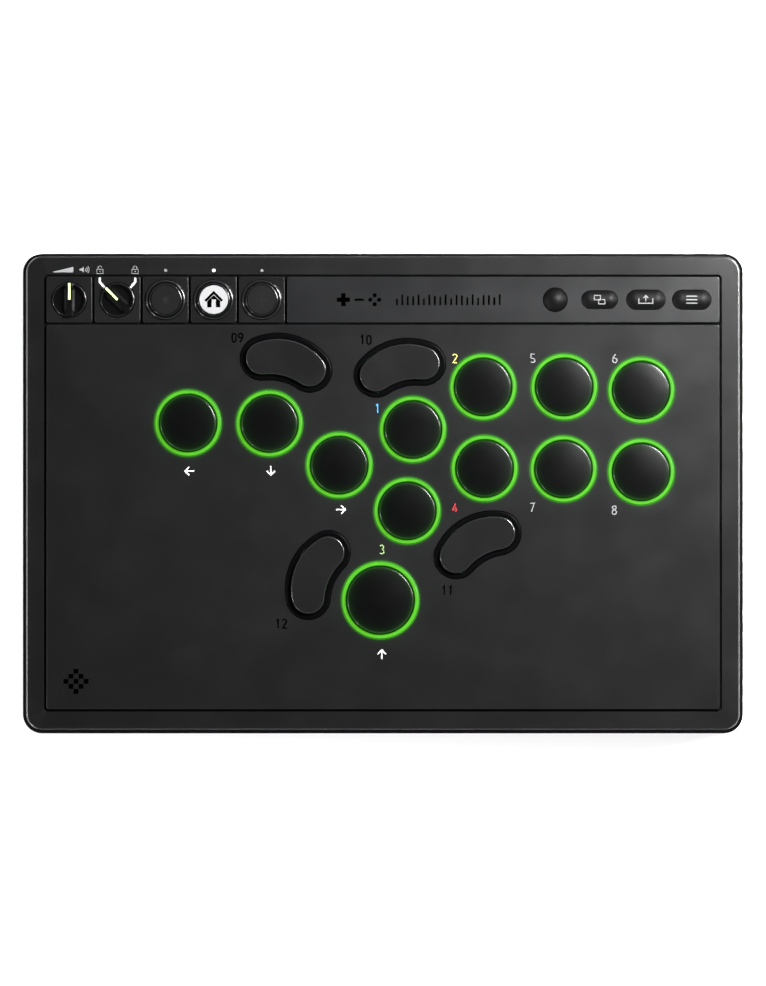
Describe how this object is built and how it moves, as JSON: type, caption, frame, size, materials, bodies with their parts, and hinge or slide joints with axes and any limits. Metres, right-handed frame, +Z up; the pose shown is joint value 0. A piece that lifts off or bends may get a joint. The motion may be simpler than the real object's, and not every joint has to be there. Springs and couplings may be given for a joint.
{
  "type": "all-button arcade joystick panel",
  "caption": "Flat rectangular arcade controller whose lit round keys stand in for a lever, with bean-shaped side keys, small header buttons and two knobs.",
  "frame": {"origin": "on the surface it stands on, under the middle of the case", "axes": "+X to the player's right along the length, +Y away from the player towards the ports, +Z up out of the keys"},
  "size_m": [0.2996, 0.1996, 0.0253],
  "materials": {
    "key_cap_black": "satin moulded black",
    "bean_cap_grey": "satin moulded dark grey",
    "header_button_gloss": "glossy black",
    "tile_button_black": "satin black",
    "home_lens_white": "milky white",
    "knob_grey": "satin dark grey",
    "pointer_pale": "pale yellow-green insert",
    "shaft_metal": "plain steel",
    "case_black": "fine textured black",
    "bezel_grey": "satin charcoal",
    "panel_grey": "satin charcoal",
    "header_grey": "satin charcoal",
    "tile_grey": "satin charcoal",
    "ring_green": "translucent light guide, lit green",
    "collar_black": "satin black",
    "switch_housing": "moulded nylon",
    "spring_steel": "drawn wire",
    "board_green": "solder resist on fibreglass laminate",
    "lamp_white": "white lamp packages",
    "shield_tin": "tinned sheet",
    "chip_black": "moulding compound",
    "battery_silver": "foil pouch",
    "plug_white": "natural nylon",
    "lead_red": "insulated wire",
    "screw_black": "black oxide",
    "screw_steel": "zinc plated",
    "foot_rubber": "matt rubber",
    "pipe_clear": "clear light guide"
  },
  "bodies": {
    "chassis": {"lower_case": "case_black", "top_bezel": "bezel_grey", "main_panel": "panel_grey", "header_panel": "header_grey", "volume_tile": "tile_grey", "lock_tile": "tile_grey", "function_tile": "tile_grey", "home_tile": "tile_grey", "pair_tile": "tile_grey", "light_rings": "ring_green", "bean_collars": "collar_black", "switch_bases": "switch_housing", "switch_lids": "switch_housing", "switch_springs": "spring_steel", "main_board": "board_green", "ring_lamps": "lamp_white", "tact_switches": "switch_housing", "rotary_bodies": "shaft_metal", "radio_shield": "shield_tin", "processor_chip": "chip_black", "usb_shell": "shield_tin", "usb_tongue": "chip_black", "audio_jack": "chip_black", "battery_pack": "battery_silver", "battery_plug": "plug_white", "battery_lead": "lead_red", "case_screws": "screw_black", "board_screws": "screw_steel", "rubber_feet": "foot_rubber", "indicator_light_pipes": "pipe_clear"},
    "left_key": {"left_key": "key_cap_black"},
    "down_key": {"down_key": "key_cap_black"},
    "right_key": {"right_key": "key_cap_black"},
    "up_key": {"up_key": "key_cap_black"},
    "action_1_key": {"action_1_key": "key_cap_black"},
    "action_2_key": {"action_2_key": "key_cap_black"},
    "action_3_key": {"action_3_key": "key_cap_black"},
    "action_4_key": {"action_4_key": "key_cap_black"},
    "action_5_key": {"action_5_key": "key_cap_black"},
    "action_6_key": {"action_6_key": "key_cap_black"},
    "action_7_key": {"action_7_key": "key_cap_black"},
    "action_8_key": {"action_8_key": "key_cap_black"},
    "bean_1_key": {"bean_1_key": "bean_cap_grey"},
    "bean_2_key": {"bean_2_key": "bean_cap_grey"},
    "bean_3_key": {"bean_3_key": "bean_cap_grey"},
    "bean_4_key": {"bean_4_key": "bean_cap_grey"},
    "profile_button": {"profile_button": "header_button_gloss"},
    "windows_button": {"windows_button": "header_button_gloss"},
    "share_button": {"share_button": "header_button_gloss"},
    "menu_button": {"menu_button": "header_button_gloss"},
    "function_button": {"function_button": "tile_button_black"},
    "home_button": {"home_button": "tile_button_black", "home_button_lens": "home_lens_white"},
    "pair_button": {"pair_button": "tile_button_black"},
    "volume_knob": {"volume_knob": "knob_grey", "volume_knob_pointer": "pointer_pale", "volume_shaft": "shaft_metal"},
    "lock_knob": {"lock_knob": "knob_grey", "lock_knob_pointer": "pointer_pale", "lock_shaft": "shaft_metal"}
  },
  "joints": [
    {"name": "left_press", "type": "slide", "parent": "chassis", "child": "left_key", "axis": [0, 0, -1], "range_m": [0, 0.003], "stiffness_N_per_m": 100, "springref_m": -0.004, "deforming": ["switch_springs"]},
    {"name": "down_press", "type": "slide", "parent": "chassis", "child": "down_key", "axis": [0, 0, -1], "range_m": [0, 0.003], "stiffness_N_per_m": 100, "springref_m": -0.004, "deforming": ["switch_springs"]},
    {"name": "right_press", "type": "slide", "parent": "chassis", "child": "right_key", "axis": [0, 0, -1], "range_m": [0, 0.003], "stiffness_N_per_m": 100, "springref_m": -0.004, "deforming": ["switch_springs"]},
    {"name": "up_press", "type": "slide", "parent": "chassis", "child": "up_key", "axis": [0, 0, -1], "range_m": [0, 0.003], "stiffness_N_per_m": 100, "springref_m": -0.004, "deforming": ["switch_springs"]},
    {"name": "action_1_press", "type": "slide", "parent": "chassis", "child": "action_1_key", "axis": [0, 0, -1], "range_m": [0, 0.003], "stiffness_N_per_m": 100, "springref_m": -0.004, "deforming": ["switch_springs"]},
    {"name": "action_2_press", "type": "slide", "parent": "chassis", "child": "action_2_key", "axis": [0, 0, -1], "range_m": [0, 0.003], "stiffness_N_per_m": 100, "springref_m": -0.004, "deforming": ["switch_springs"]},
    {"name": "action_3_press", "type": "slide", "parent": "chassis", "child": "action_3_key", "axis": [0, 0, -1], "range_m": [0, 0.003], "stiffness_N_per_m": 100, "springref_m": -0.004, "deforming": ["switch_springs"]},
    {"name": "action_4_press", "type": "slide", "parent": "chassis", "child": "action_4_key", "axis": [0, 0, -1], "range_m": [0, 0.003], "stiffness_N_per_m": 100, "springref_m": -0.004, "deforming": ["switch_springs"]},
    {"name": "action_5_press", "type": "slide", "parent": "chassis", "child": "action_5_key", "axis": [0, 0, -1], "range_m": [0, 0.003], "stiffness_N_per_m": 100, "springref_m": -0.004, "deforming": ["switch_springs"]},
    {"name": "action_6_press", "type": "slide", "parent": "chassis", "child": "action_6_key", "axis": [0, 0, -1], "range_m": [0, 0.003], "stiffness_N_per_m": 100, "springref_m": -0.004, "deforming": ["switch_springs"]},
    {"name": "action_7_press", "type": "slide", "parent": "chassis", "child": "action_7_key", "axis": [0, 0, -1], "range_m": [0, 0.003], "stiffness_N_per_m": 100, "springref_m": -0.004, "deforming": ["switch_springs"]},
    {"name": "action_8_press", "type": "slide", "parent": "chassis", "child": "action_8_key", "axis": [0, 0, -1], "range_m": [0, 0.003], "stiffness_N_per_m": 100, "springref_m": -0.004, "deforming": ["switch_springs"]},
    {"name": "bean_1_press", "type": "slide", "parent": "chassis", "child": "bean_1_key", "axis": [0, 0, -1], "range_m": [0, 0.003], "stiffness_N_per_m": 100, "springref_m": -0.004, "deforming": ["switch_springs"]},
    {"name": "bean_2_press", "type": "slide", "parent": "chassis", "child": "bean_2_key", "axis": [0, 0, -1], "range_m": [0, 0.003], "stiffness_N_per_m": 100, "springref_m": -0.004, "deforming": ["switch_springs"]},
    {"name": "bean_3_press", "type": "slide", "parent": "chassis", "child": "bean_3_key", "axis": [0, 0, -1], "range_m": [0, 0.003], "stiffness_N_per_m": 100, "springref_m": -0.004, "deforming": ["switch_springs"]},
    {"name": "bean_4_press", "type": "slide", "parent": "chassis", "child": "bean_4_key", "axis": [0, 0, -1], "range_m": [0, 0.003], "stiffness_N_per_m": 100, "springref_m": -0.004, "deforming": ["switch_springs"]},
    {"name": "profile_button_press", "type": "slide", "parent": "chassis", "child": "profile_button", "axis": [0, 0, -1], "range_m": [0, 0.0007], "stiffness_N_per_m": 500, "springref_m": -0.001},
    {"name": "windows_button_press", "type": "slide", "parent": "chassis", "child": "windows_button", "axis": [0, 0, -1], "range_m": [0, 0.0007], "stiffness_N_per_m": 500, "springref_m": -0.001},
    {"name": "share_button_press", "type": "slide", "parent": "chassis", "child": "share_button", "axis": [0, 0, -1], "range_m": [0, 0.0007], "stiffness_N_per_m": 500, "springref_m": -0.001},
    {"name": "menu_button_press", "type": "slide", "parent": "chassis", "child": "menu_button", "axis": [0, 0, -1], "range_m": [0, 0.0007], "stiffness_N_per_m": 500, "springref_m": -0.001},
    {"name": "function_button_press", "type": "slide", "parent": "chassis", "child": "function_button", "axis": [0, 0, -1], "range_m": [0, 0.0007], "stiffness_N_per_m": 500, "springref_m": -0.001},
    {"name": "home_button_press", "type": "slide", "parent": "chassis", "child": "home_button", "axis": [0, 0, -1], "range_m": [0, 0.0007], "stiffness_N_per_m": 500, "springref_m": -0.001},
    {"name": "pair_button_press", "type": "slide", "parent": "chassis", "child": "pair_button", "axis": [0, 0, -1], "range_m": [0, 0.0007], "stiffness_N_per_m": 500, "springref_m": -0.001},
    {"name": "volume_turn", "type": "hinge", "parent": "chassis", "child": "volume_knob", "pos_m": [-0.13032, 0.08032, 0.0213], "axis": [0, 0, 1], "range_deg": [-140, 140]},
    {"name": "lock_turn", "type": "hinge", "parent": "chassis", "child": "lock_knob", "pos_m": [-0.11033, 0.08032, 0.0213], "axis": [0, 0, 1], "range_deg": [-90, 0]}
  ]
}
